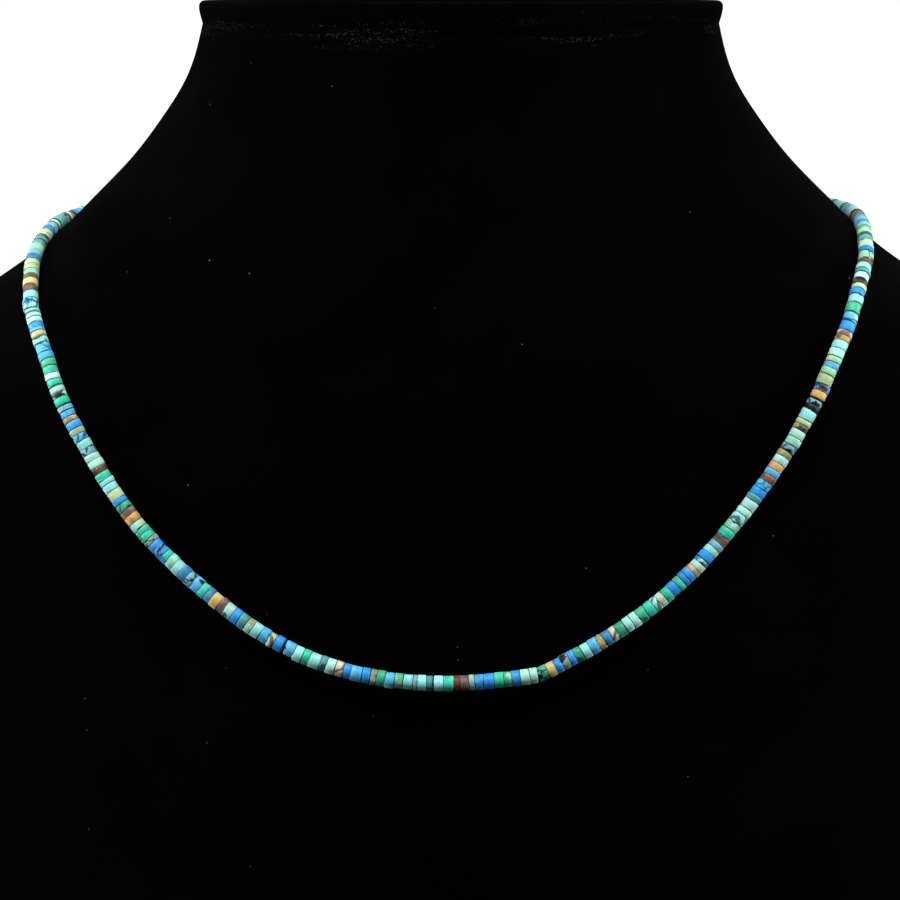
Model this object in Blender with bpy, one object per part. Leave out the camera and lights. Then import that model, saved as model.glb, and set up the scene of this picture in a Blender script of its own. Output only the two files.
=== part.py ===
"""Necklace of thin stone discs, lying round a velvet neck bust. Metres, +Z up, front towards -Y."""

import math

import bmesh
import bpy
import numpy as np

# Neck bust
BUST_HEIGHT = 0.2355
RIM_HEIGHT = 0.0045
RIM_BULGE = 0.0007
NECK_WIDTH = 0.1024
NECK_FRONT = 0.037
NECK_BACK = 0.037
SHOULDER_HEIGHT = 0.152
SHOULDER_WIDTH = 0.223
CHEST_FRONT = 0.046
CHEST_BACK = 0.040
BASE_WIDTH = 0.152
BASE_FRONT = 0.044
BASE_BACK = 0.038
BASE_EDGE = 0.003
BUST_COLUMNS = 28
FLARE_STEPS = 14
BODY_STEPS = 4

# Bead strings
BEAD_DIAMETER = 0.0030
BEAD_THICKNESS = 0.00147
BEAD_GAP = 0.0001
BEAD_SIDES = 10
THREAD_DIAMETER = 0.0010
THREAD_SIDES = 3
PIECE_GAP = 0.0003
NAPE_DROP = 0.0365
DRAPE_DROP = 0.0928

# Clasp
CLASP_LENGTH = 0.014
CLASP_DIAMETER = 0.0036
CLASP_TIP_DIAMETER = 0.0025
CLASP_TIP_LENGTH = 0.0022
CLASP_TIP_EDGE = 0.0003
CLASP_GROOVE = 0.0003
CLASP_SIDES = 12

# The string lies this far up at the nape and, in front, at its lowest bead
NAPE_HEIGHT = BUST_HEIGHT - NAPE_DROP
DRAPE_HEIGHT = NAPE_HEIGHT - DRAPE_DROP

# Edges sharper than these are shaded as creases
BUST_CREASE = math.radians(50)
SMALL_CREASE = math.radians(40)

# From the widest part of the shoulders up to the neck: share of that height, then how much of the
# shoulders' extra width, front and back is left there
FLARE_ROWS = (
    # up, width, front, back
    (0.00, 1.000, 1.00, 1.00),
    (0.10, 0.975, 0.98, 0.99),
    (0.20, 0.905, 0.91, 0.95),
    (0.30, 0.795, 0.81, 0.87),
    (0.38, 0.650, 0.68, 0.76),
    (0.46, 0.505, 0.54, 0.63),
    (0.56, 0.365, 0.39, 0.47),
    (0.66, 0.235, 0.25, 0.32),
    (0.76, 0.134, 0.14, 0.19),
    (0.86, 0.054, 0.06, 0.08),
    (1.00, 0.000, 0.00, 0.00),
)
# The same from the shoulders down to the base
BODY_ROWS = (
    # down, width, front, back
    (0.00, 1.00, 1.00, 1.00),
    (0.20, 0.94, 1.00, 1.00),
    (0.45, 0.80, 1.05, 0.90),
    (0.70, 0.46, 0.80, 0.60),
    (0.90, 0.05, 0.35, 0.20),
    (1.00, 0.00, 0.00, 0.00),
)
# Rolled edge of the neck: share of its height, share of its bulge
RIM_ROWS = (
    (0.00, 0.0),
    (0.50, 1.0),
    (0.85, 0.6),
    (1.00, -1.5),
)

# Where the string lies on the bust, from the nape round the left, the front and the right: degrees
# round the bust from its front, and share of the rise from the lowest bead to the nape
STRING_ROUTE = (
    (-180, 1.000),
    (-148, 0.976),
    (-122, 0.944),
    (-104, 0.920),
    (-90, 0.901),
    (-76.6, 0.857),
    (-62.1, 0.790),
    (-52.1, 0.705),
    (-44.7, 0.587),
    (-37.2, 0.403),
    (-31.9, 0.279),
    (-24.3, 0.151),
    (-16.4, 0.056),
    (-4, 0.000),
    (8, 0.016),
    (15.9, 0.105),
    (26.2, 0.285),
    (34.8, 0.499),
    (41.4, 0.644),
    (51.5, 0.770),
    (65, 0.847),
    (77, 0.895),
    (90, 0.923),
    (102.5, 0.938),
    (122, 0.951),
    (148, 0.976),
    (180, 1.000),
)
# The place in the route where the two strings meet
BEND = 14
# How finely the route is measured, and the steps from which the slope of the bust is taken
ROUTE_SAMPLES = 1500
STRING_SAMPLES = 400
SMALL_TURN = 1e-4
SMALL_RISE = 1e-5


def clear_scene():
    for thing in list(bpy.data.objects):
        bpy.data.objects.remove(thing)


def finish(name, colour, roughness, metallic):
    material = bpy.data.materials.new(name)
    material.use_nodes = True
    shader = material.node_tree.nodes["Principled BSDF"]
    shader.inputs["Base Color"].default_value = (*colour, 1)
    shader.inputs["Roughness"].default_value = roughness
    shader.inputs["Metallic"].default_value = metallic
    return material


def add_piece(name, mesh, material, sharp_angle):
    """Puts a closed bmesh into the scene as one named object, shaded smooth."""
    data = bpy.data.meshes.new(name)
    bmesh.ops.recalc_face_normals(mesh, faces=mesh.faces)
    mesh.to_mesh(data)
    mesh.free()
    data.shade_smooth()
    data.set_sharp_from_angle(angle=sharp_angle)
    data.materials.append(material)
    piece = bpy.data.objects.new(name, data)
    bpy.context.scene.collection.objects.link(piece)
    return piece


class SmoothCurve:
    """A smooth curve through values at rising knots, straight at both ends."""

    def __init__(self, knots, values):
        self.knots = np.array(knots)
        self.values = np.array(values)
        steps = np.diff(self.knots)
        slopes = np.diff(self.values) / steps
        matrix = np.eye(len(self.knots))
        right = np.zeros(len(self.knots))
        for i in range(1, len(self.knots) - 1):
            matrix[i, i - 1 : i + 2] = steps[i - 1], 2 * (steps[i - 1] + steps[i]), steps[i]
            right[i] = 6 * (slopes[i] - slopes[i - 1])
        self.bends = np.linalg.solve(matrix, right)

    def at(self, place):
        k = int(np.clip(np.searchsorted(self.knots, place) - 1, 0, len(self.knots) - 2))
        before = place - self.knots[k]
        after = self.knots[k + 1] - place
        h = before + after
        bent = (self.bends[k] * after**3 + self.bends[k + 1] * before**3) / (6 * h)
        low = (self.values[k] / h - self.bends[k] * h / 6) * after
        high = (self.values[k + 1] / h - self.bends[k + 1] * h / 6) * before
        return bent + low + high


def bust_curves():
    """Half width, front depth and back depth of the bust as smooth curves over its height."""
    shoulders = (SHOULDER_WIDTH / 2, CHEST_FRONT, CHEST_BACK)
    neck = (NECK_WIDTH / 2, NECK_FRONT, NECK_BACK)
    base = (BASE_WIDTH / 2, BASE_FRONT, BASE_BACK)
    flare = BUST_HEIGHT - RIM_HEIGHT - SHOULDER_HEIGHT
    rows = [(SHOULDER_HEIGHT * (1 - down), base, part) for down, *part in reversed(BODY_ROWS)]
    rows += [(SHOULDER_HEIGHT + flare * up, neck, part) for up, *part in FLARE_ROWS[1:]]
    heights = [height for height, _, _ in rows]
    curves = []
    for side, wide in enumerate(shoulders):
        sizes = [end[side] + (wide - end[side]) * part[side] for _, end, part in rows]
        curves.append(SmoothCurve(heights, sizes))
    return curves


BUST_CURVES = bust_curves()


def section(height):
    """Half width, front depth and back depth of the bust at a height."""
    height = min(height, BUST_HEIGHT - RIM_HEIGHT)
    return [curve.at(height) for curve in BUST_CURVES]


def on_oval(sizes, turn, height):
    half_width, front, back = sizes
    depth = front if math.cos(turn) > 0 else back
    return np.array((half_width * math.sin(turn), -depth * math.cos(turn), height))


def bust_point(turn, height):
    return on_oval(section(height), turn, height)


def bust_normal(turn, height):
    round_way = bust_point(turn + SMALL_TURN, height) - bust_point(turn - SMALL_TURN, height)
    up_way = bust_point(turn, height + SMALL_RISE) - bust_point(turn, height - SMALL_RISE)
    normal = np.cross(round_way, up_way)
    return normal / np.linalg.norm(normal)


def bust_levels():
    """Height, and what is added to the section there, from the base to the top of the rim."""
    neck_top = BUST_HEIGHT - RIM_HEIGHT
    levels = [(0.0, -BASE_EDGE)]
    for step in range(BODY_STEPS):
        levels.append((BASE_EDGE + (SHOULDER_HEIGHT - BASE_EDGE) * step / BODY_STEPS, 0.0))
    for step in range(FLARE_STEPS):
        levels.append((SHOULDER_HEIGHT + (neck_top - SHOULDER_HEIGHT) * step / FLARE_STEPS, 0.0))
    for share, bulge in RIM_ROWS:
        levels.append((neck_top + RIM_HEIGHT * share, RIM_BULGE * bulge))
    return levels


def make_neck_bust():
    mesh = bmesh.new()
    rings = []
    for height, extra in bust_levels():
        sizes = [size + extra for size in section(height)]
        turns = [2 * math.pi * k / BUST_COLUMNS for k in range(BUST_COLUMNS)]
        rings.append([mesh.verts.new(on_oval(sizes, turn, height)) for turn in turns])
    for low, high in zip(rings, rings[1:]):
        for k in range(BUST_COLUMNS):
            after = (k + 1) % BUST_COLUMNS
            mesh.faces.new((low[k], low[after], high[after], high[k]))
    mesh.faces.new(rings[0])
    mesh.faces.new(rings[-1])
    velvet = finish("black_velvet", (0.004, 0.004, 0.005), 1.0, 0.0)
    return add_piece("neck_bust", mesh, velvet, BUST_CREASE)


class Route:
    """The middle line of a run of beads, held clear of the bust, measured along its length."""

    def __init__(self, stops, lift):
        turns = np.radians([turn for turn, _ in stops])
        heights = np.array([DRAPE_HEIGHT + (NAPE_HEIGHT - DRAPE_HEIGHT) * rise for _, rise in stops])
        steps = np.hypot(np.diff(turns) * CHEST_FRONT, np.diff(heights))
        knots = np.concatenate([[0.0], np.cumsum(steps)])
        places = np.linspace(0.0, knots[-1], ROUTE_SAMPLES)
        turn_curve = SmoothCurve(knots, turns)
        height_curve = SmoothCurve(knots, heights)
        self.normals = []
        self.points = []
        for place in places:
            turn, height = turn_curve.at(place), height_curve.at(place)
            normal = bust_normal(turn, height)
            self.normals.append(normal)
            self.points.append(bust_point(turn, height) + lift * normal)
        self.points = np.array(self.points)
        self.normals = np.array(self.normals)
        lengths = np.linalg.norm(np.diff(self.points, axis=0), axis=1)
        self.along = np.concatenate([[0.0], np.cumsum(lengths)])

    def length(self):
        return float(self.along[-1])

    def point(self, place):
        return np.array([np.interp(place, self.along, column) for column in self.points.T])

    def axes(self, place, reach):
        """Unit vectors along the route, away from the bust and across, at a place."""
        way = self.point(place + reach) - self.point(place - reach)
        way = way / np.linalg.norm(way)
        out = np.array([np.interp(place, self.along, column) for column in self.normals.T])
        out = out - way * np.dot(out, way)
        out = out / np.linalg.norm(out)
        return way, out, np.cross(way, out)

    def bend(self, place, reach):
        """How sharply the route turns near a place, in radians for each metre."""
        before = self.axes(place - reach, reach)[0]
        after = self.axes(place + reach, reach)[0]
        return math.acos(min(np.dot(before, after), 1.0)) / (2 * reach)


def ring(mesh, centre, axes, radius, sides):
    """A ring of corners square to the route, its flats towards and away from the bust."""
    _, out, across = axes
    turns = [2 * math.pi * (k + 0.5) / sides for k in range(sides)]
    return [mesh.verts.new(centre + radius * (math.cos(t) * out + math.sin(t) * across)) for t in turns]


def join_rings(mesh, first, second):
    """Faces between two rings that may have different numbers of corners."""
    i = j = 0
    many, few = len(first), len(second)
    while i < many or j < few:
        if j == few or (i < many and (i + 0.5) / many <= (j + 0.5) / few):
            mesh.faces.new((first[i % many], first[(i + 1) % many], second[j % few]))
            i += 1
        else:
            mesh.faces.new((first[i % many], second[(j + 1) % few], second[j % few]))
            j += 1


def bead_places(route, start, end):
    """Middles of the beads, the joints between them, both further apart on a bend, and thickness."""
    places = np.linspace(start, end, STRING_SAMPLES)
    turns = np.array([route.bend(place, BEAD_THICKNESS) for place in places])
    pitches = BEAD_THICKNESS * (1 + turns * BEAD_DIAMETER / 2) + BEAD_GAP
    steps = np.diff(places) / ((pitches[1:] + pitches[:-1]) / 2)
    counted = np.concatenate([[0.0], np.cumsum(steps)])
    count = max(round(counted[-1]), 2)
    stretch = counted[-1] / count
    middles = np.interp((np.arange(count) + 0.5) * stretch, counted, places)
    joints = np.interp((np.arange(count - 1) + 1.0) * stretch, counted, places)
    return middles, joints, BEAD_THICKNESS * stretch


def make_string(name, route, start, end, material):
    """Discs side by side from start to end of the route, fused along their thread."""
    middles, joints, thickness = bead_places(route, start, end)
    mesh = bmesh.new()
    thread = None
    for bead, place in enumerate(middles):
        axes = route.axes(place, thickness)
        centre = route.point(place)
        near = ring(mesh, centre - axes[0] * thickness / 2, axes, BEAD_DIAMETER / 2, BEAD_SIDES)
        far = ring(mesh, centre + axes[0] * thickness / 2, axes, BEAD_DIAMETER / 2, BEAD_SIDES)
        if thread is None:
            mesh.faces.new(near)
        else:
            join_rings(mesh, near, thread)
        for k in range(BEAD_SIDES):
            after = (k + 1) % BEAD_SIDES
            mesh.faces.new((near[k], near[after], far[after], far[k]))
        if bead < len(joints):
            joint = joints[bead]
            middle = route.point(joint)
            thread = ring(mesh, middle, route.axes(joint, thickness), THREAD_DIAMETER / 2, THREAD_SIDES)
            join_rings(mesh, far, thread)
        else:
            mesh.faces.new(far)
    return add_piece(name, mesh, material, SMALL_CREASE)


def clasp_profile():
    """Distance from one end of the clasp and radius there, end to end."""
    tip = CLASP_TIP_DIAMETER / 2
    barrel = CLASP_DIAMETER / 2
    shoulder = barrel - tip
    middle = CLASP_LENGTH / 2
    half = (
        (0.0, tip - CLASP_TIP_EDGE),
        (CLASP_TIP_EDGE, tip),
        (CLASP_TIP_LENGTH, tip),
        (CLASP_TIP_LENGTH + shoulder, barrel),
        (middle - CLASP_GROOVE, barrel),
        (middle, barrel - CLASP_GROOVE),
    )
    other_half = [(CLASP_LENGTH - at, radius) for at, radius in reversed(half[:-1])]
    return list(half) + other_half


def make_clasp(centre, axes):
    mesh = bmesh.new()
    rings = []
    for at, radius in clasp_profile():
        rings.append(ring(mesh, centre + axes[0] * (at - CLASP_LENGTH / 2), axes, radius, CLASP_SIDES))
    for near, far in zip(rings, rings[1:]):
        for k in range(CLASP_SIDES):
            after = (k + 1) % CLASP_SIDES
            mesh.faces.new((near[k], near[after], far[after], far[k]))
    mesh.faces.new(rings[0])
    mesh.faces.new(rings[-1])
    silver = finish("silver", (0.75, 0.74, 0.72), 0.25, 1.0)
    return add_piece("clasp", mesh, silver, SMALL_CREASE)


def make_necklace():
    lift = BEAD_DIAMETER / 2 + PIECE_GAP
    left = Route(STRING_ROUTE[: BEND + 1], lift)
    right = Route(STRING_ROUTE[BEND:], lift)
    clear_of_clasp = CLASP_LENGTH / 2 + PIECE_GAP
    before = left.axes(left.length(), BEAD_THICKNESS)[0]
    after = right.axes(0.0, BEAD_THICKNESS)[0]
    clear_of_bend = PIECE_GAP / 2 + BEAD_DIAMETER / 2 * math.tan(math.acos(np.dot(before, after)) / 2)
    stone = finish("turquoise_stone", (0.17, 0.50, 0.48), 0.5, 0.0)
    make_string("bead_string_left", left, clear_of_clasp, left.length() - clear_of_bend, stone)
    make_string("bead_string_right", right, clear_of_bend, right.length() - clear_of_clasp, stone)
    nape = math.pi
    out = bust_normal(nape, NAPE_HEIGHT)
    way = np.array((-1.0, 0.0, 0.0))
    centre = bust_point(nape, NAPE_HEIGHT) + out * (CLASP_DIAMETER / 2 + PIECE_GAP)
    make_clasp(centre, (way, out, np.cross(way, out)))


def main():
    clear_scene()
    make_neck_bust()
    make_necklace()


main()
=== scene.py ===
"""Looks of a stone disc necklace on its velvet neck bust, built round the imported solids. Metres, +Z up."""

import logging
import math
import re
from dataclasses import dataclass
from enum import Enum

import bpy
import numpy as np
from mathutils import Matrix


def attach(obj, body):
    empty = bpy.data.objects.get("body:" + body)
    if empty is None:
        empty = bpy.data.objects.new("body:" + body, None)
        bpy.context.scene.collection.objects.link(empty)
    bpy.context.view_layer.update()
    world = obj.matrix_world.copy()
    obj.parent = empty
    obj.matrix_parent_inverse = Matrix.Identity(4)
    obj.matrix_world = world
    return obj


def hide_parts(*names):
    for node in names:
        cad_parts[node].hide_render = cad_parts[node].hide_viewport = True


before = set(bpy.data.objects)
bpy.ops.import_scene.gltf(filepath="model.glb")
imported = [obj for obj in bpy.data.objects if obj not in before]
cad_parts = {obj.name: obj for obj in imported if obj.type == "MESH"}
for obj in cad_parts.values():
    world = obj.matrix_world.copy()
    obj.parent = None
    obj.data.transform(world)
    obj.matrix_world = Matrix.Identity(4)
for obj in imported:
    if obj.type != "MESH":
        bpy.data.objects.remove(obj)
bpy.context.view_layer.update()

Colour = tuple[float, float, float]
Place = tuple[float, float, float]
Span = tuple[float, float]
Socket = bpy.types.NodeSocket
LOG = logging.getLogger("necklace")
ROOT = "root"
FULL_TURN = 2 * math.pi
MILLIMETRES = 1000


def ring_turns(count: int) -> np.ndarray:
    """Angles of evenly spaced corners on a full turn."""
    return FULL_TURN * np.arange(count) / count


def angle_between(turns: np.ndarray, other: float) -> np.ndarray:
    """How far some angles are from another one, the short way round."""
    return np.abs((turns - other + math.pi) % FULL_TURN - math.pi)


def unit(rows: np.ndarray) -> np.ndarray:
    """The same vectors, each 1 long."""
    return rows / np.linalg.norm(rows, axis=-1, keepdims=True)


def square_axes(way: np.ndarray, out: np.ndarray) -> tuple[np.ndarray, np.ndarray, np.ndarray]:
    """Unit vectors that stand square to each other.

    Args:
        way: Directions along a line.
        out: Directions roughly across it.

    Returns:
        Unit vectors along the line, out and across both.
    """
    way = unit(way)
    out = unit(out - way * np.sum(way * out, axis=-1, keepdims=True))
    return way, out, np.cross(way, out)


def linear(display: Colour) -> Colour:
    """Turns a display colour into the linear values that shaders use.

    Args:
        display: Red, green and blue as seen on a screen, from 0 to 255.

    Returns:
        The same colour as linear red, green and blue, from 0 to 1.
    """
    shares = [part / 255 for part in display]
    return tuple(s / 12.92 if s < 0.04045 else ((s + 0.055) / 1.055) ** 2.4 for s in shares)


class SmoothCurve:
    """A smooth curve through values at rising knots, straight at both ends."""

    def __init__(self, knots: np.ndarray, values: np.ndarray) -> None:
        """Works out how the curve bends at each knot.

        Args:
            knots: Rising places along the curve.
            values: The curve's value at each of them.
        """
        self.knots = np.asarray(knots, float)
        self.values = np.asarray(values, float)
        steps = np.diff(self.knots)
        slopes = np.diff(self.values) / steps
        matrix = np.eye(len(self.knots))
        right = np.zeros(len(self.knots))
        for i in range(1, len(self.knots) - 1):
            matrix[i, i - 1 : i + 2] = steps[i - 1], 2 * (steps[i - 1] + steps[i]), steps[i]
            right[i] = 6 * (slopes[i] - slopes[i - 1])
        self.bends = np.linalg.solve(matrix, right)

    def at(self, places: np.ndarray) -> np.ndarray:
        """Reads the curve.

        Args:
            places: Where to read it.

        Returns:
            Its value at each place.
        """
        places = np.asarray(places, float)
        k = np.clip(np.searchsorted(self.knots, places) - 1, 0, len(self.knots) - 2)
        before = places - self.knots[k]
        after = self.knots[k + 1] - places
        h = before + after
        bent = (self.bends[k] * after**3 + self.bends[k + 1] * before**3) / (6 * h)
        low = (self.values[k] / h - self.bends[k] * h / 6) * after
        high = (self.values[k + 1] / h - self.bends[k + 1] * h / 6) * before
        return bent + low + high


def mesh_piece(name: str, points: np.ndarray, faces: list, crease: float) -> bpy.types.Object:
    """Makes a mesh object, shaded smooth but for its sharp edges.

    Args:
        name: The piece's name.
        points: Its corners, in metres.
        faces: Lists of corner numbers, one for each face.
        crease: The angle in degrees above which an edge is shaded sharp.

    Returns:
        The new object, linked to the scene.
    """
    data = bpy.data.meshes.new(name)
    data.from_pydata(points.tolist(), [], faces)
    data.update()
    data.shade_smooth()
    data.set_sharp_from_angle(angle=math.radians(crease))
    piece = bpy.data.objects.new(name, data)
    bpy.context.scene.collection.objects.link(piece)
    return piece


def grid_faces(rows: int, columns: int, wrap_rows: bool, first: int = 0) -> list:
    """Quads of a grid of corners that closes on itself along its columns.

    Args:
        rows: How many rings of corners there are.
        columns: How many corners each ring has.
        wrap_rows: Whether the last ring joins the first one.
        first: The number of the grid's first corner.

    Returns:
        Lists of four corner numbers.
    """
    faces = []
    for row in range(rows if wrap_rows else rows - 1):
        low = first + row * columns
        high = first + ((row + 1) % rows) * columns
        for column in range(columns):
            after = (column + 1) % columns
            faces.append([low + column, low + after, high + after, high + column])
    return faces


def tube_faces(rings: int, sides: int) -> list:
    """Faces of a tube with both ends closed.

    Args:
        rings: How many rings of corners it has.
        sides: How many corners each ring has.

    Returns:
        Lists of corner numbers.
    """
    last = (rings - 1) * sides
    ends = [list(range(sides))[::-1], list(range(last, last + sides))]
    return grid_faces(rings, sides, False) + ends


@dataclass(frozen=True)
class Noise:
    """A soft noise: its cells for each unit, its finer layers and how strong those are."""

    scale: float
    detail: float = 2.0
    roughness: float = 0.5


class NodeMaterial:
    """A material whose pattern is made of nodes, with short ways to add them."""

    def __init__(self, name: str) -> None:
        """Starts a material that holds one shader.

        Args:
            name: The material's name.
        """
        self.material = bpy.data.materials.new(name)
        self.material.use_nodes = True
        self.tree = self.material.node_tree
        self.shader = self.tree.nodes["Principled BSDF"]

    def node(self, kind: str, **inputs: object) -> bpy.types.Node:
        """Adds a node.

        Args:
            kind: Its type.
            **inputs: Values or sockets for its inputs, by name with _ for a space.

        Returns:
            The new node.
        """
        made = self.tree.nodes.new(kind)
        for key, value in inputs.items():
            self.feed(made.inputs[key.replace("_", " ")], value)
        return made

    def feed(self, socket: Socket, value: object) -> None:
        """Gives a socket a value or a link.

        Args:
            socket: The input that is fed.
            value: A number, a tuple or another node's output.
        """
        if isinstance(value, Socket):
            self.tree.links.new(value, socket)
        else:
            socket.default_value = value

    def shade(self, **inputs: object) -> None:
        """Feeds the shader's inputs, by name with _ for a space."""
        for key, value in inputs.items():
            self.feed(self.shader.inputs[key.replace("_", " ")], value)

    def attribute(self, name: str, part: str) -> Socket:
        """Reads a value that the mesh holds at each corner.

        Args:
            name: The value's name.
            part: Which output is wanted: Color, Vector or Alpha.

        Returns:
            That output.
        """
        made = self.node("ShaderNodeAttribute")
        made.attribute_name = name
        return made.outputs[part]

    def math(self, kind: str, first: object, second: object = 0.0, clamp: bool = False) -> Socket:
        """Adds one sum.

        Args:
            kind: The operation, such as MULTIPLY.
            first: Its first value or socket.
            second: Its second value or socket.
            clamp: Whether the result is kept between 0 and 1.

        Returns:
            The result.
        """
        made = self.tree.nodes.new("ShaderNodeMath")
        made.operation = kind
        made.use_clamp = clamp
        self.feed(made.inputs[0], first)
        self.feed(made.inputs[1], second)
        return made.outputs[0]

    def vector(self, kind: str, first: object, second: object) -> Socket:
        """Adds one sum of vectors.

        Args:
            kind: The operation, such as MULTIPLY.
            first: Its first vector or socket.
            second: Its second vector or socket.

        Returns:
            The result.
        """
        made = self.tree.nodes.new("ShaderNodeVectorMath")
        made.operation = kind
        self.feed(made.inputs[0], first)
        self.feed(made.inputs[1], second)
        return made.outputs[0]

    def mix(self, factor: object, first: object, second: object, blend: str = "MIX") -> Socket:
        """Mixes two colours.

        Args:
            factor: The share of the second colour.
            first: The first colour or socket.
            second: The second colour or socket.
            blend: How they are mixed.

        Returns:
            The mixed colour.
        """
        made = self.tree.nodes.new("ShaderNodeMix")
        made.data_type = "RGBA"
        made.blend_type = blend
        self.feed(made.inputs[0], factor)
        self.feed(made.inputs[6], first)
        self.feed(made.inputs[7], second)
        return made.outputs[2]

    def noise(self, place: Socket, look: Noise, part: str = "Fac") -> Socket:
        """Adds a soft noise.

        Args:
            place: The coordinates that it is read at.
            look: How fine and how strong it is.
            part: Which output is wanted: Fac, or Color for three values.

        Returns:
            That output, from 0 to 1.
        """
        made = self.node(
            "ShaderNodeTexNoise",
            Vector=place,
            Scale=look.scale,
            Detail=look.detail,
            Roughness=look.roughness,
        )
        return made.outputs[part]

    def ramp(self, value: object, low: float, high: float, start: float = 0.0, end: float = 1.0) -> Socket:
        """Stretches a range of values to another with soft ends.

        Args:
            value: The value or socket that is read.
            low: Where the range starts.
            high: Where it ends.
            start: The result there and below.
            end: The result at the end and above.

        Returns:
            The stretched value.
        """
        made = self.tree.nodes.new("ShaderNodeMapRange")
        made.interpolation_type = "SMOOTHSTEP"
        for socket, given in zip(made.inputs[:5], (value, low, high, start, end)):
            self.feed(socket, given)
        return made.outputs[0]

    def stripes(self, place: Socket, scale: float, bend: float) -> Socket:
        """Adds slanting stripes.

        Args:
            place: The coordinates that they are read at.
            scale: How close they stand.
            bend: How much they wander.

        Returns:
            Their value, from 0 to 1.
        """
        made = self.node("ShaderNodeTexWave", Vector=place, Scale=scale, Distortion=bend, Detail=2.0)
        made.bands_direction = "DIAGONAL"
        return made.outputs["Fac"]

    def bump(self, height: object, distance: float, under: object = None) -> Socket:
        """Turns heights into the slope of the surface.

        Args:
            height: The heights, from 0 to 1.
            distance: How far 1 stands above 0, in metres.
            under: The slope of a coarser layer under this one.

        Returns:
            The normal.
        """
        made = self.node("ShaderNodeBump", Height=height, Distance=distance)
        if under is not None:
            self.feed(made.inputs["Normal"], under)
        return made.outputs["Normal"]

    def object_place(self) -> Socket:
        """The place on the piece, in metres."""
        return self.tree.nodes.new("ShaderNodeTexCoord").outputs["Object"]


@dataclass(frozen=True)
class VelvetFinish:
    """Black velvet with a short dense pile, brushed a little this way and that."""

    deep: Colour = (0.0002, 0.0002, 0.0002)
    raised: Colour = (0.0008, 0.0008, 0.0009)
    # Colour of the lint specks, and of the painted highlight along the fold under the rim
    lint: Colour = (0.220, 0.220, 0.226)
    specular: float = 0.01
    sheen: float = 0.0008
    sheen_colour: Colour = (0.36, 0.37, 0.40)
    sheen_roughness: float = 0.40
    roughness: Span = (0.86, 1.0)
    roughness_span: Span = (0.2, 0.8)
    brushed: Noise = Noise(38.0, 4.0, 0.6)
    brushed_span: Span = (0.35, 0.68)
    nap_height: float = 0.0012
    pile: Noise = Noise(2600.0, 3.0, 0.7)
    pile_span: Span = (0.3, 0.7)
    pile_shade: Span = (0.3, 1.0)
    pile_height: float = 0.00018
    lint_scale: float = 250.0
    lint_size: float = 0.019
    lint_chance: Span = (0.62, 0.96)
    # Band under the rim where pale streaks paint the fold's highlight
    fold_highlight_band: Span = (0.2268, 0.2322)
    fold_highlight_share: float = 0.12
    streak_stretch: Place = (0.6, 0.6, 11.0)
    streaks: Noise = Noise(55.0, 3.0, 0.6)
    streak_span: Span = (0.50, 0.64)
    grains: Noise = Noise(2600.0, 2.0, 0.7)
    grain_span: Span = (0.54, 0.68)

    def make(self) -> bpy.types.Material:
        """Builds the material.

        Returns:
            The material.
        """
        made = NodeMaterial("black_velvet")
        place = made.object_place()
        brushed = made.noise(place, self.brushed)
        pile = made.noise(place, self.pile)
        tips = made.ramp(pile, *self.pile_span, *self.pile_shade)
        standing = made.math("MULTIPLY", made.ramp(brushed, *self.brushed_span), tips)
        cloth = made.mix(standing, (*self.deep, 1), (*self.raised, 1))
        # Lint specks, and the painted highlight along the fold under the rim
        lint_and_fold_highlight = made.math("MAXIMUM", self.lint_specks(made, place), self.fold_highlight(made, place))
        made.shade(
            Base_Color=made.mix(lint_and_fold_highlight, cloth, (*self.lint, 1)),
            Roughness=made.ramp(pile, *self.roughness_span, *self.roughness),
            Normal=made.bump(pile, self.pile_height, made.bump(brushed, self.nap_height)),
            Specular_IOR_Level=self.specular,
            Sheen_Weight=self.sheen,
            Sheen_Roughness=self.sheen_roughness,
            Sheen_Tint=(*self.sheen_colour, 1),
        )
        return made.material

    def lint_specks(self, made: NodeMaterial, place: Socket) -> Socket:
        """Single specks of lint, strong in some cells and missing in others.

        Args:
            made: The material.
            place: The place on the piece.

        Returns:
            Where there is lint, from 0 to 1.
        """
        cells = made.node("ShaderNodeTexVoronoi", Vector=place, Scale=self.lint_scale)
        speck = made.ramp(cells.outputs["Distance"], self.lint_size, self.lint_size * 2, 1.0, 0.0)
        draw = made.node("ShaderNodeSeparateColor", Color=cells.outputs["Color"]).outputs[0]
        return made.math("MULTIPLY", speck, made.ramp(draw, *self.lint_chance))

    def fold_highlight(self, made: NodeMaterial, place: Socket) -> Socket:
        """Broken pale streaks along the fold under the rim: a painted highlight on the fold.

        Args:
            made: The material.
            place: The place on the piece.

        Returns:
            Where the painted highlight lies, from 0 to 1.
        """
        low, high = self.fold_highlight_band
        edge = (high - low) / 4
        height = made.node("ShaderNodeSeparateXYZ", Vector=place).outputs["Z"]
        above = made.ramp(height, low - edge, low + edge)
        below = made.ramp(height, high - edge, high + edge, 1.0, 0.0)
        band = made.math("MULTIPLY", made.math("MULTIPLY", above, below), self.fold_highlight_share)
        flat = made.vector("MULTIPLY", place, self.streak_stretch)
        streaks = made.ramp(made.noise(flat, self.streaks), *self.streak_span)
        grains = made.ramp(made.noise(place, self.grains), *self.grain_span)
        return made.math("MULTIPLY", made.math("MULTIPLY", streaks, grains), band)


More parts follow.
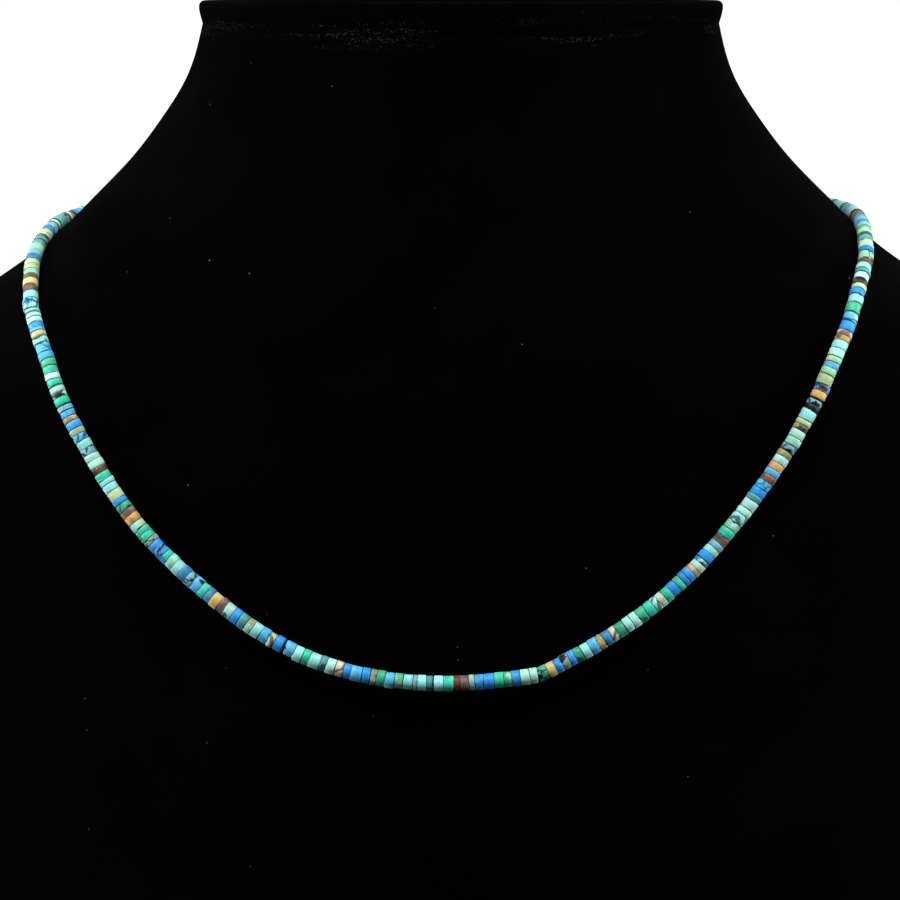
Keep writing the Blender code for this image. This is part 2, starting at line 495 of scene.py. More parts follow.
@dataclass(frozen=True)
class BustForm:
    """The bust's outer form: half width, front and back depth over its height."""

    height: float = 0.2355
    rim_height: float = 0.0045
    neck: tuple[float, float, float] = (0.0512, 0.037, 0.037)
    shoulder_height: float = 0.152
    shoulders: tuple[float, float, float] = (0.1115, 0.046, 0.040)
    base: tuple[float, float, float] = (0.076, 0.044, 0.038)
    base_edge: float = 0.003
    flare_rows: tuple = (
        # Share of the way from the shoulders up to the rim. Then width, front and back depth there,
        # where 1 is the shoulders' and 0 the neck's
        (0.00, 1.000, 1.00, 1.00),
        (0.10, 0.975, 0.98, 0.99),
        (0.20, 0.905, 0.91, 0.95),
        (0.30, 0.795, 0.81, 0.87),
        (0.38, 0.650, 0.68, 0.76),
        (0.46, 0.505, 0.54, 0.63),
        (0.56, 0.365, 0.39, 0.47),
        (0.66, 0.235, 0.25, 0.32),
        (0.76, 0.134, 0.14, 0.19),
        (0.86, 0.054, 0.06, 0.08),
        (1.00, 0.000, 0.00, 0.00),
    )
    body_rows: tuple = (
        # Share of the way from the shoulders down to the base. Then width, front and back depth there,
        # where 1 is the shoulders' and 0 the base's
        (0.00, 1.00, 1.00, 1.00),
        (0.20, 0.94, 1.00, 1.00),
        (0.45, 0.80, 1.05, 0.90),
        (0.70, 0.46, 0.80, 0.60),
        (0.90, 0.05, 0.35, 0.20),
        (1.00, 0.00, 0.00, 0.00),
    )

    def curves(self) -> list[SmoothCurve]:
        """Half width, front and back depth as smooth curves over the height.

        Returns:
            One curve for each.
        """
        flare = self.height - self.rim_height - self.shoulder_height
        rows = [(self.shoulder_height * (1 - down), self.base, part) for down, *part in self.body_rows[::-1]]
        rows += [(self.shoulder_height + flare * up, self.neck, part) for up, *part in self.flare_rows[1:]]
        heights = np.array([height for height, _, _ in rows])
        made = []
        for side, wide in enumerate(self.shoulders):
            sizes = [end[side] + (wide - end[side]) * part[side] for _, end, part in rows]
            made.append(SmoothCurve(heights, np.array(sizes)))
        return made

    def points(self, turns: np.ndarray, heights: np.ndarray, extra: float | np.ndarray = 0.0) -> np.ndarray:
        """Places on the bust.

        Args:
            turns: Radians round the bust from its front.
            heights: Heights above the base.
            extra: What is added to the section there.

        Returns:
            One point for each pair, in metres.
        """
        below_rim = np.minimum(heights, self.height - self.rim_height)
        width, front, back = (curve.at(below_rim) + extra for curve in self.curves())
        depth = np.where(np.cos(turns) > 0, front, back)
        return np.stack([width * np.sin(turns), -depth * np.cos(turns), heights + 0 * turns], -1)

    def normals(self, turns: np.ndarray, heights: np.ndarray) -> np.ndarray:
        """Directions straight out of the bust.

        Args:
            turns: Radians round the bust from its front.
            heights: Heights above the base.

        Returns:
            One unit vector for each pair.
        """
        small_turn, small_rise = 1e-4, 1e-5
        round_way = self.points(turns + small_turn, heights) - self.points(turns - small_turn, heights)
        up_way = self.points(turns, heights + small_rise) - self.points(turns, heights - small_rise)
        return unit(np.cross(round_way, up_way))


@dataclass
class NeckBust:
    """The velvet neck and chest form that the necklace lies on."""

    form: BustForm
    finish: VelvetFinish
    columns: int = 224
    body_rings: int = 64
    flare_rings: int = 96
    base_steps: int = 6
    bulge_steps: int = 5
    roll_steps: int = 8
    rim_bulge: float = 0.0007
    rim_roll: float = 0.0012
    top_inset: float = 0.0036
    top_sink: float = 0.0007
    fold_height: float = 0.2318
    fold_dip: float = 0.0028
    fold_curve: float = 1.5
    fold_depth: float = 0.00045
    fold_width: float = 0.0007
    fold_lip: float = 0.6
    lip_offset: float = 1.8
    swells: int = 3
    swell_start: float = 0.6
    swell_least: float = 0.35
    unevenness: float = 0.00012
    waves: int = 9
    waves_round: tuple[int, int] = (2, 9)
    waves_up: Span = (30.0, 160.0)
    even_ends: Span = (0.02, 0.003)
    seed: int = 3

    def levels(self) -> list[Span]:
        """Height of each ring and what is added to the section there, from the base to the rim.

        Returns:
            One pair for each ring, in metres.
        """
        form = self.form
        neck_top = form.height - form.rim_height
        roll_start = form.height - self.rim_roll
        rings = [(0.0, -form.base_edge)]
        for step in range(1, self.base_steps + 1):
            turn = math.pi / 2 * step / self.base_steps
            rings.append((form.base_edge * (1 - math.cos(turn)), form.base_edge * (math.sin(turn) - 1)))
        for low, high, count in (
            (form.base_edge, form.shoulder_height, self.body_rings),
            (form.shoulder_height, neck_top, self.flare_rings),
        ):
            rings += [(low + (high - low) * (step + 1) / count, 0.0) for step in range(count)]
        for step in range(1, self.bulge_steps + 1):
            share = step / self.bulge_steps
            bulge = self.rim_bulge * math.sin(math.pi / 2 * share)
            rings.append((neck_top + (roll_start - neck_top) * share, bulge))
        for step in range(1, self.roll_steps + 1):
            turn = math.pi * step / self.roll_steps
            extra = self.rim_bulge - self.rim_roll * (1 - math.cos(turn))
            rings.append((roll_start + self.rim_roll * math.sin(turn), extra))
        rings.append((form.height - self.top_sink, self.rim_bulge - self.top_inset))
        return rings

    def worn(self, turns: np.ndarray, heights: np.ndarray) -> np.ndarray:
        """How far the cloth stands out of the plain form: one fold under the rim and slight unevenness.

        Args:
            turns: Radians round the bust from its front.
            heights: Heights above the base.

        Returns:
            Metres along the outward direction.
        """
        facing = np.clip(np.cos(turns), 0, 1)
        middle = self.fold_height - self.fold_dip * facing**self.fold_curve
        across = (heights - middle) / self.fold_width
        fold = self.fold_lip * np.exp(-((across - self.lip_offset) ** 2)) - np.exp(-(across**2))
        swell = np.sin(self.swells * turns + self.swell_start) ** 2
        depth = self.fold_depth * (self.swell_least + (1 - self.swell_least) * swell)
        rng = np.random.default_rng(self.seed)
        uneven = np.zeros_like(turns)
        for _ in range(self.waves):
            count, rise = rng.integers(*self.waves_round), rng.uniform(*self.waves_up)
            uneven += np.sin(count * turns + rise * heights + rng.uniform(0, FULL_TURN))
        low_end, high_end = self.even_ends
        covered = np.clip(heights / low_end, 0, 1) * np.clip((self.form.height - heights) / high_end, 0, 1)
        return fold * facing * depth + self.unevenness * uneven * covered / math.sqrt(self.waves)

    def build(self) -> bpy.types.Object:
        """Makes the closed velvet form.

        Returns:
            The mesh object.
        """
        levels = self.levels()
        heights, extras = (np.array(column)[:, None] for column in zip(*levels))
        heights, extras, turns = np.broadcast_arrays(heights, extras, ring_turns(self.columns))
        points = self.form.points(turns, heights, extras)
        points = points + self.form.normals(turns, heights) * self.worn(turns, heights)[..., None]
        points[..., 2] = np.clip(points[..., 2], 0.0, self.form.height)
        rows = len(levels)
        centres = np.array([[0.0, 0.0, 0.0], [0.0, 0.0, self.form.height - self.top_sink]])
        corners = np.vstack([points.reshape(-1, 3), centres])
        faces = grid_faces(rows, self.columns, False)
        bottom, top = rows * self.columns, rows * self.columns + 1
        last = (rows - 1) * self.columns
        for column in range(self.columns):
            after = (column + 1) % self.columns
            faces.append([bottom, after, column])
            faces.append([top, last + column, last + after])
        return mesh_piece("velvet_bust", corners, faces, crease=60)

    def dress(self, piece: bpy.types.Object) -> None:
        """Gives the bust its velvet, and its place in the frame.

        Args:
            piece: The mesh from build.
        """
        piece.data.materials.append(self.finish.make())
        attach(piece, ROOT)
        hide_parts("neck_bust")


@dataclass(frozen=True)
class StoneLook:
    """How one kind of stone looks, its colours as seen on a screen from 0 to 255."""

    body: Colour
    cloud: Colour
    clouding: float = 0.5
    bands: float = 0.3


class Stone(Enum):
    """The kinds of stone in the string, each with the letter that the charts use."""

    PALE_AQUA = "a"
    MINT_WHITE = "w"
    MINT_GREEN = "m"
    PALE_GREEN = "p"
    SEA_GREEN = "g"
    BRIGHT_BLUE = "b"
    ROYAL_BLUE = "B"
    SKY_BLUE = "s"
    STEEL_BLUE = "t"
    BLUE_GREY = "u"
    TEAL_GREY = "e"
    DARK_TEAL = "E"
    GREY = "h"
    LIME_CREAM = "l"
    YELLOW_CREAM = "y"
    CREAM = "c"
    OCHRE = "o"
    ORANGE = "O"
    TAN = "n"
    BROWN = "r"
    TERRACOTTA = "R"
    MAUVE_BROWN = "v"
    NEAR_BLACK = "k"


class SpotSide(Enum):
    """Where a disc's spot of another stone lies, as its mark in the charts."""

    ABOVE = "^"
    MIDDLE = "."
    BELOW = "_"

    @property
    def way(self) -> int:
        """Which way round the disc it lies from the front: -1, 0 or 1."""
        return {SpotSide.ABOVE: -1, SpotSide.MIDDLE: 0, SpotSide.BELOW: 1}[self]


class Vein(Enum):
    """Dark lines in a disc, as their mark in the charts."""

    NONE = ""
    WEB = "x"
    SLANTING = "/"


LOOKS: dict[Stone, StoneLook] = {
    Stone.PALE_AQUA: StoneLook((146, 224, 218), (114, 200, 204)),
    Stone.MINT_WHITE: StoneLook((172, 228, 214), (142, 206, 198)),
    Stone.MINT_GREEN: StoneLook((50, 204, 170), (40, 170, 142)),
    Stone.PALE_GREEN: StoneLook((144, 206, 168), (112, 182, 146)),
    Stone.SEA_GREEN: StoneLook((58, 172, 132), (42, 140, 108)),
    Stone.BRIGHT_BLUE: StoneLook((38, 140, 226), (52, 168, 230)),
    Stone.ROYAL_BLUE: StoneLook((32, 112, 208), (30, 88, 176)),
    Stone.SKY_BLUE: StoneLook((78, 182, 228), (60, 160, 214)),
    Stone.STEEL_BLUE: StoneLook((48, 132, 184), (44, 108, 150), 0.6),
    Stone.BLUE_GREY: StoneLook((120, 178, 194), (84, 142, 166), 0.6),
    Stone.TEAL_GREY: StoneLook((78, 156, 158), (56, 126, 130)),
    Stone.DARK_TEAL: StoneLook((30, 90, 92), (22, 66, 70)),
    Stone.GREY: StoneLook((150, 176, 166), (112, 140, 134), 0.6, 0.4),
    Stone.LIME_CREAM: StoneLook((178, 206, 154), (152, 188, 140)),
    Stone.YELLOW_CREAM: StoneLook((210, 200, 138), (196, 176, 110)),
    Stone.CREAM: StoneLook((198, 206, 178), (172, 178, 150), 0.5, 0.4),
    Stone.OCHRE: StoneLook((206, 164, 88), (152, 112, 58), 0.7, 0.3),
    Stone.ORANGE: StoneLook((222, 166, 108), (190, 130, 80), 0.6, 0.3),
    Stone.TAN: StoneLook((150, 150, 112), (112, 112, 80), 0.7, 0.5),
    Stone.BROWN: StoneLook((106, 78, 62), (48, 36, 30), 0.8, 0.5),
    Stone.TERRACOTTA: StoneLook((142, 76, 50), (78, 44, 34), 0.8, 0.5),
    Stone.MAUVE_BROWN: StoneLook((118, 92, 84), (66, 54, 54), 0.8, 0.5),
    Stone.NEAR_BLACK: StoneLook((20, 20, 26), (12, 12, 16), 0.5, 0.3),
}


@dataclass(frozen=True)
class StoneFinish:
    """Tumbled stone with a low satin sheen.

    Each disc's colours, spot and veins are kept in its mesh, with its own place in the rough stone.
    """

    clouds: Noise = Noise(0.85, 6.0, 0.70)
    cloud_span: Span = (0.40, 0.60)
    ragged: Noise = Noise(1.7, 4.0, 0.65)
    ragged_depth: float = 1.7
    spot_edge: Span = (-0.06, 0.08)
    layers: Noise = Noise(1.0, 3.0, 0.65)
    layer_stretch: Place = (5.0, 0.35, 0.35)
    layer_span: Span = (0.47, 0.60)
    layer_tint: Colour = (0.42, 0.42, 0.40)
    layer_shade: float = 0.85
    vein_colour: Colour = (0.004, 0.005, 0.006)
    vein_share: float = 0.97
    vein_depth: float = 0.000045
    web_scale: float = 0.40
    web_edge: Span = (0.0444, 0.0888)
    web_swell: Noise = Noise(0.9)
    web_swell_span: Span = (0.3, 0.7)
    web_thickness: Span = (0.25, 1.7)
    wander: Noise = Noise(0.8, 3.0)
    wander_reach: float = 1.2
    stripe_scale: float = 0.30
    stripe_bend: float = 3.5
    stripe_span: Span = (0.24, 0.40)
    grain: Noise = Noise(12.0, 3.0, 0.7)
    grain_share: float = 0.14
    grain_height: float = 0.000020
    # Pale colour painted along the disc rims: a painted highlight
    rim_highlight_colour: Colour = (0.78, 0.80, 0.76)
    rim_highlight_mix: float = 0.45
    rim_highlight_strength: float = 0.55
    gloss: Noise = Noise(2.2, 3.0)
    gloss_span: Span = (0.3, 0.7)
    roughness: Span = (0.28, 0.50)
    specular: float = 0.17

    def make(self) -> bpy.types.Material:
        """Builds the material.

        Returns:
            The material.
        """
        made = NodeMaterial("tumbled_stone")
        place = made.attribute("grain", "Vector")
        marks = made.node("ShaderNodeSeparateXYZ", Vector=made.attribute("marks", "Vector"))
        spot, web, slanting = marks.outputs
        layers = made.noise(made.vector("MULTIPLY", place, self.layer_stretch), self.layers)
        dark = self.dark_lines(made, place, web, slanting)
        grain = made.noise(place, self.grain)
        gloss = made.noise(place, self.gloss)
        colour = self.body_colour(made, place, spot, layers)
        colour = made.mix(dark, colour, (*self.vein_colour, 1))
        colour = made.mix(self.grain_share, colour, made.mix(1.0, colour, grain, "OVERLAY"))
        # Painted highlight on the disc rims, its strength kept in the spot attribute's alpha
        highlit_colour = made.mix(self.rim_highlight_mix, colour, (*self.rim_highlight_colour, 1))
        rim = made.math("MULTIPLY", made.attribute("spot", "Alpha"), self.rim_highlight_strength)
        sunk = made.bump(made.math("SUBTRACT", 1.0, dark), self.vein_depth)
        made.shade(
            Base_Color=made.mix(rim, colour, highlit_colour),
            Roughness=made.ramp(gloss, *self.gloss_span, *self.roughness),
            Normal=made.bump(made.math("ADD", grain, layers), self.grain_height, sunk),
            Specular_IOR_Level=self.specular,
        )
        return made.material

    def body_colour(self, made: NodeMaterial, place: Socket, spot: Socket, layers: Socket) -> Socket:
        """The disc's own colour with its clouds, its spot and the fine lines that run round it.

        Args:
            made: The material.
            place: The place in the rough stone, its first part along the disc's axis.
            spot: How far inside the disc's spot it is.
            layers: How strong the fine lines are.

        Returns:
            The colour.
        """
        clouds = made.ramp(made.noise(place, self.clouds), *self.cloud_span)
        clouding = made.math("MULTIPLY", clouds, made.attribute("body", "Alpha"))
        colour = made.mix(clouding, made.attribute("body", "Color"), made.attribute("cloud", "Color"))
        ragged = made.math("SUBTRACT", made.noise(place, self.ragged), 0.5)
        inside = made.math("ADD", spot, made.math("MULTIPLY", ragged, self.ragged_depth))
        colour = made.mix(made.ramp(inside, *self.spot_edge), colour, made.attribute("spot", "Color"))
        shade = made.math("MULTIPLY", made.attribute("cloud", "Alpha"), self.layer_shade)
        darker = made.math("MULTIPLY", made.ramp(layers, *self.layer_span), shade)
        return made.mix(darker, colour, made.mix(1.0, colour, (*self.layer_tint, 1), "MULTIPLY"))

    def dark_lines(self, made: NodeMaterial, place: Socket, web: Socket, slanting: Socket) -> Socket:
        """The dark web, pushed about so that its lines wander, and the slanting stripes.

        Args:
            made: The material.
            place: The place in the rough stone.
            web: How strong the web is in this disc.
            slanting: How strong the stripes are.

        Returns:
            Where it is dark, from 0 to 1.
        """
        push = made.vector("MULTIPLY", made.noise(place, self.wander, "Color"), (self.wander_reach,) * 3)
        pushed = made.vector("ADD", place, push)
        cells = made.node("ShaderNodeTexVoronoi", Vector=pushed, Scale=self.web_scale)
        cells.feature = "DISTANCE_TO_EDGE"
        swell = made.noise(place, self.web_swell)
        thickness = made.ramp(swell, *self.web_swell_span, *self.web_thickness)
        reach = made.math("DIVIDE", cells.outputs["Distance"], thickness)
        line = made.math("MULTIPLY", made.ramp(reach, *self.web_edge, 1.0, 0.0), web)
        wave = made.stripes(place, self.stripe_scale, self.stripe_bend)
        stripe = made.math("MULTIPLY", made.ramp(wave, *self.stripe_span, 1.0, 0.0), slanting)
        return made.math("MULTIPLY", made.math("MAXIMUM", line, stripe), self.vein_share, True)


class BeadRoute:
    """The middle line of a run of discs on the bust, measured along its length."""

    samples: int = 3000

    def __init__(self, form: BustForm, stops: tuple, low: float, rise: float, lift: float) -> None:
        """Lays the line.

        Args:
            form: The bust that it lies on.
            stops: Degrees round the bust from its front, and share of the rise, for each stop.
            low: The height of the lowest disc.
            rise: How much higher the nape is.
            lift: How far the line stands off the bust.
        """
        turns = np.radians([turn for turn, _ in stops])
        heights = low + rise * np.array([share for _, share in stops])
        steps = np.hypot(np.diff(turns) * form.shoulders[1], np.diff(heights))
        knots = np.concatenate([[0.0], np.cumsum(steps)])
        places = np.linspace(0.0, knots[-1], self.samples)
        turns, heights = SmoothCurve(knots, turns).at(places), SmoothCurve(knots, heights).at(places)
        self.outs = form.normals(turns, heights)
        self.line = form.points(turns, heights) + lift * self.outs
        steps = np.linalg.norm(np.diff(self.line, axis=0), axis=1)
        self.along = np.concatenate([[0.0], np.cumsum(steps)])

    @property
    def length(self) -> float:
        """The line's whole length."""
        return float(self.along[-1])

    def read(self, rows: np.ndarray, places: np.ndarray) -> np.ndarray:
        """Reads vectors that are known along the line.

        Args:
            rows: One vector for each sample of the line.
            places: Distances along it.

        Returns:
            One vector for each place.
        """
        return np.stack([np.interp(places, self.along, column) for column in rows.T], -1)

    def axes(self, places: np.ndarray, reach: float = 0.0012) -> tuple[np.ndarray, np.ndarray, np.ndarray]:
        """Directions at some places.

        Args:
            places: Distances along the line.
            reach: How far to each side the direction is taken from.

        Returns:
            Unit vectors along the line, out of the bust and across.
        """
        way = self.read(self.line, places + reach) - self.read(self.line, places - reach)
        return square_axes(way, self.read(self.outs, places))

    def bends(self, places: np.ndarray, reach: float = 0.0015) -> np.ndarray:
        """How sharply the line turns.

        Args:
            places: Distances along the line.
            reach: How far to each side the turn is taken from.

        Returns:
            Radians for each metre.
        """
        before, after = self.axes(places - reach)[0], self.axes(places + reach)[0]
        return np.arccos(np.clip(np.sum(before * after, axis=1), -1, 1)) / (2 * reach)


@dataclass(frozen=True)
class Disc:
    """One disc of the string, or a gap where there is no stone."""

    width: float
    stone: Stone | None
    spot: Stone | None = None
    side: SpotSide | None = None
    vein: Vein = Vein.NONE
    nicked: bool = False


# Width, stone, spot and its side, dark lines, nick
WORD = re.compile(r"(\d+)([a-zA-Z-])(?:([a-zA-Z])([.^_]))?([x/]?)(!?)")


@dataclass(frozen=True)
class Stretch:
    """A part of the string that is charted disc by disc, or filled with the usual mix.

    A chart has a word for each disc: the width that it shows in pixels of the photograph, the letter
    of its stone, and if it has them the letter of a spot and its side, x or / for dark lines, and ! for
    a nicked edge. A - stands for a gap.
    """

    end: float
    chart: str = ""

    def discs(self) -> list[Disc]:
        """Reads the chart.

        Returns:
            Its discs and gaps in order, none where there is no chart.
        """
        made = []
        for word in self.chart.split():
            width, stone, spot, side, vein, nick = WORD.fullmatch(word).groups()
            made.append(Disc(
                float(width),
                None if stone == "-" else Stone(stone),
                Stone(spot) if spot else None,
                SpotSide(side) if side else None,
                Vein(vein),
                bool(nick),
            ))
        return made


# Ends are metres along the string from the clasp, the last at the bend
LEFT_CHART = (
    Stretch(0.0828),
    Stretch(0.0956, "3p 3g 4b 3t 4k 2n 2w 2k 2r 4e 4g"),
    Stretch(0.1059, "2k 2w 2k 4u 5t 3l 3y 2E 3e 2k"),
    Stretch(0.1275, "4e 7p 6u 6t 6l 5l 5p 4v 6y 5v 6a 8ab.x 2a"),
    Stretch(0.1478, "2- 5w 6w 6b 3s 6y 1- 7ax! 9sx 8s 7g 7m 7w 6m 1- 6w 6wk.x 7m 1-"),
    Stretch(0.1614, "6uh_ 7s 6no^ 8b 7pn. 7s/ 9a 8ux 7w 8w"),
    Stretch(0.1825, "7rk_ 7m 6a 8a 9l 6b 8g/ 6nr. 9oO_ 8wl^ 6m 7mx 6hx 7b 8bx"),
    Stretch(0.2048, "7mt_ 8ap. 9a 8t 8ux 9sk^ 8m 7te. 9yo. 7v 9wE_ 8b 9et_ 7pn^"),
    Stretch(0.2224, "9a 9s 7c/ 9b 2- 10su.! 9a 7m 11a 6eE_ 9w"),
    Stretch(0.2453, "9cx 7b 11s 8b 6nh. 9g 9sa_ 8pg^ 10a 4u 9a 6eE_ 1- 9a 10m"),
    Stretch(0.2614, "8R 8v 6pu. 9b 11b 10m 8gp^ 9b 10w 8w"),
)
# Ends are metres along the string from the bend, the last at the clasp. The first disc starts before it
RIGHT_CHART = (
    Stretch(0.0125, "11gE_x! 8y 8b 8hk^ 7b 8gE_ 9a 9s"),
    Stretch(0.0295, "7no. 8t 7c/ 10g 8a 8w 10gE_ 9m 7a/ 7cw_ 8m"),
    Stretch(0.0477, "9b 7gm. 6tb. 7b 5On_ 7wl_ 5tw.! 8b 7al_ 7u 8vR_ 9m 9pw."),
    Stretch(0.0647, "10a/ 7w 10w 6e 8b 8sx 7vR. 7s 7Oo. 8w 6n 1-"),
    Stretch(0.0764, "7u/! 8ap. 8w 6rn^ 6l 10a 6k 6uk.x 2-"),
    Stretch(0.0909, "7Oo. 7bk.x 10l 7p 6s 6py^ 8w 8a 6or^ 5cv."),
    Stretch(0.1094, "8b 8sw_x 9g 8a 6b 5l 6rk. 6w 1- 4e 7a 6r"),
    Stretch(0.1247, "6px 4t 3a 3y 4e 3E 4l 3g 4u 3t"),
    Stretch(0.1433, "3u 3t 3E 2v 2k 3h 3u 3e 3E 3h 3e 3E 3h"),
    Stretch(0.2190),
)
# How common each kind is where the string is out of sight, and how often a disc has a spot or a web
HIDDEN_MIX = "aaaaaaawwwwwmmmmgggbbbbbssssssttuueehhllllyycooOOnnrrvRpppBEk"
HIDDEN_SPOTS = 0.22
HIDDEN_WEBS = 0.14


@dataclass
class DiscString:
    """Stone discs side by side along a route, as one joined mesh."""

    name: str
    node: str
    route: BeadRoute
    start: float
    stretches: tuple[Stretch, ...]
    finish: bpy.types.Material
    seed: int
    diameter: float = 0.0030
    hole: float = 0.0008
    gap: float = 0.00006
    loose: Span = (0.5, 2.6)
    thickness: float = 0.00156
    edge: float = 0.00012
    sides: int = 32
    width_spread: float = 0.16
    width_limits: Span = (0.6, 1.5)
    size_spread: float = 0.019
    size_limits: Span = (-0.045, 0.03)
    wobbles: tuple[tuple[int, float], ...] = ((2, 0.006), (5, 0.004))
    shift_spread: float = 0.00005
    shift_limit: float = 0.00012
    tilt_spread: float = 0.032
    tilt_limit: float = 0.06
    nick_share: float = 0.36
    wedge_share: float = 0.14
    nick_size: Span = (0.00006, 0.00024)
    nick_reach: Span = (0.12, 0.42)
    big_nick: float = 0.00042
    big_nick_reach: float = 0.50
    big_nick_turn: float = 0.25
    # Width, start and strength of the painted highlight along the disc rims
    rim_highlight_width: float = 0.0001
    rim_highlight_start: float = 0.42
    rim_highlight_strengths: Span = (0.1, 1.7)
    shade_spread: float = 0.07
    tint_spread: float = 0.03
    brightest: float = 0.9
    strengths: Span = (0.6, 1.4)
    slanting: float = 0.8
    spot_turn: float = 0.85
    spot_turn_spread: float = 0.12
    spot_size: Span = (0.00055, 0.00095)
    spot_flatness: float = 0.8
    no_spot: float = -9.0
    rough_size: float = 40.0

    def __post_init__(self) -> None:
        """Starts the random draws, which are the same in each run."""
        self.rng = np.random.default_rng(self.seed)

    def hidden_discs(self, room: float) -> list[Disc]:
        """Discs of the usual mix for a stretch that the photograph doesn't show.

        Args:
            room: The stretch's length.

        Returns:
            The discs, with widths as shares of the usual one.
        """
        made = []
        for _ in range(round(room / (self.thickness + self.gap))):
            stone, spot = (Stone(letter) for letter in self.rng.choice(list(HIDDEN_MIX), 2))
            side = SpotSide(str(self.rng.choice([side.value for side in SpotSide])))
            has_spot, has_web = self.rng.uniform(size=2) < (HIDDEN_SPOTS, HIDDEN_WEBS)
            made.append(Disc(
                float(np.clip(self.rng.normal(1.0, self.width_spread), *self.width_limits)),
                stone,
                spot if has_spot else None,
                side if has_spot else None,
                Vein.WEB if has_web else Vein.NONE,
            ))
        return made

    def places(self) -> tuple[list[Disc], np.ndarray, np.ndarray]:
        """Sets out the discs.

        Returns:
            The discs without the gaps, the middle of each along the route and its thickness.
        """
        kept, middles, rooms = [], [], []
        start = self.start
        for stretch in self.stretches:
            room = stretch.end - start
            discs = stretch.discs() or self.hidden_discs(room)
            scale = room / sum(disc.width for disc in discs)
            for disc in discs:
                if disc.stone:
                    kept.append(disc)
                    middles.append(start + disc.width * scale / 2)
                    rooms.append(disc.width * scale)
                start += disc.width * scale
        middles = np.array(middles)
        crowding = 1 + self.route.bends(middles) * self.diameter / 2
        loose = np.random.default_rng(self.seed + 1).uniform(*self.loose, len(kept))
        return kept, middles, (np.array(rooms) - self.gap * loose) / crowding

    def outline(self, thickness: np.ndarray) -> tuple[np.ndarray, np.ndarray, np.ndarray, np.ndarray]:
        """The closed cross-section of each disc, from its hole out and back.

        Args:
            thickness: The thickness of each disc.

        Returns:
            Radius and depth of each corner, which end of the disc it belongs to, from -1 to 1, and how
            much it takes of a nick outwards, of a nick along and of a wedge.
        """
        outer, hole, edge = self.diameter / 2, self.hole / 2, self.edge
        slope = 1 - math.sqrt(0.5)
        rows = (
            # Radius, depth, then the share of a nick outwards, of a nick along and of a wedge
            (hole, edge / 2, 0.0, 0.0, 0.0),
            (hole + edge / 2, 0.0, 0.0, 0.0, 0.5),
            (outer - edge * 1.6, 0.0, 0.6, 0.0, 1.0),
            (outer - edge, 0.0, 1.0, 0.3, 1.0),
            (outer - edge * slope, edge * slope, 1.0, 0.8, 1.0),
            (outer, edge, 0.55, 1.2, 1.0),
        )
        radii, inwards, *cuts = (np.array(column) for column in zip(*rows))
        radii = np.concatenate([radii, [outer], radii[::-1]])
        inwards = np.concatenate([inwards, [0.0], inwards[::-1]])
        nicks = np.stack([np.concatenate([column, [0.0], column[::-1]]) for column in cuts])
        ends = np.array([-1.0] * len(rows) + [0.0] + [1.0] * len(rows))
        depths = (thickness[:, None] / 2 - inwards) * ends
        return radii + 0 * depths, depths, ends, nicks

    def build(self) -> bpy.types.Object:
        """Makes the joined mesh with what the finish reads at each corner.

        Returns:
            The mesh object.
        """
        discs, middles, thickness = self.places()
        way, out, across = self.route.axes(middles)
        fronts = np.arctan2(-across[:, 1], -out[:, 1])
        turns = ring_turns(self.sides)
        radius, depth = self.worn_discs(discs, thickness, fronts, turns)
        shifts = self.rng.normal(0, self.shift_spread, (len(discs), 2))
        shifts = shifts.clip(-self.shift_limit, self.shift_limit)
        centres = self.route.read(self.route.line, middles) + out * shifts[:, :1] + across * shifts[:, 1:]
        sideways, upwards = radius * np.cos(turns), radius * np.sin(turns)
        points = centres[:, None, None]
        for distance, direction in ((depth, way), (sideways, out), (upwards, across)):
            points = points + distance[..., None] * direction[:, None, None]
        rings = depth.shape[1]
        faces = []
        for number in range(len(discs)):
            faces += grid_faces(rings, self.sides, True, number * rings * self.sides)
        piece = mesh_piece(self.name, points.reshape(-1, 3), faces, crease=40)
        self.colour(piece, discs, turns - fronts[:, None], depth, radius)
        self.store(piece, "grain", self.rough_places(depth, sideways, upwards))
        return piece

    def worn_discs(
        self, discs: list[Disc], thickness: np.ndarray, fronts: np.ndarray, turns: np.ndarray
    ) -> tuple[np.ndarray, np.ndarray]:
        """Shapes every disc, each a little out of round, nicked and ground askew.

        Args:
            discs: The discs.
            thickness: The thickness of each.
            fronts: The angle of each that faces the front of the bust.
            turns: The angle of each corner round a disc.

        Returns:
            Radius of each corner, and its place along its disc's axis.
        """
        count = len(discs)
        radii, depths, ends, nicks = self.outline(thickness)
        size = 1 + self.rng.normal(0, self.size_spread, count).clip(*self.size_limits)
        wobble = np.ones((count, self.sides))
        for waves, share in self.wobbles:
            wobble += share * np.sin(waves * turns + self.rng.uniform(0, FULL_TURN, (count, 1)))
        near_rim = np.clip((radii - self.hole / 2) / (self.diameter / 2 - self.hole / 2), 0, 1)
        larger = size[:, None, None] * wobble[:, None, :] - 1
        radius = radii[:, :, None] * (1 + near_rim[:, :, None] * larger)
        depth = np.repeat(depths[:, :, None], self.sides, 2)
        for number, disc in enumerate(discs):
            self.nick(radius[number], depth[number], ends, nicks, turns, fronts[number], disc)
        tilts = self.rng.normal(0, self.tilt_spread, (count + 1, 2)).clip(-self.tilt_limit, self.tilt_limit)
        for end, tilt in ((-1, tilts[:-1]), (1, tilts[1:])):
            lean = tilt[:, :1] * np.cos(turns) + tilt[:, 1:] * np.sin(turns)
            depth += (ends == end)[None, :, None] * radius * lean[:, None, :]
        return radius, depth

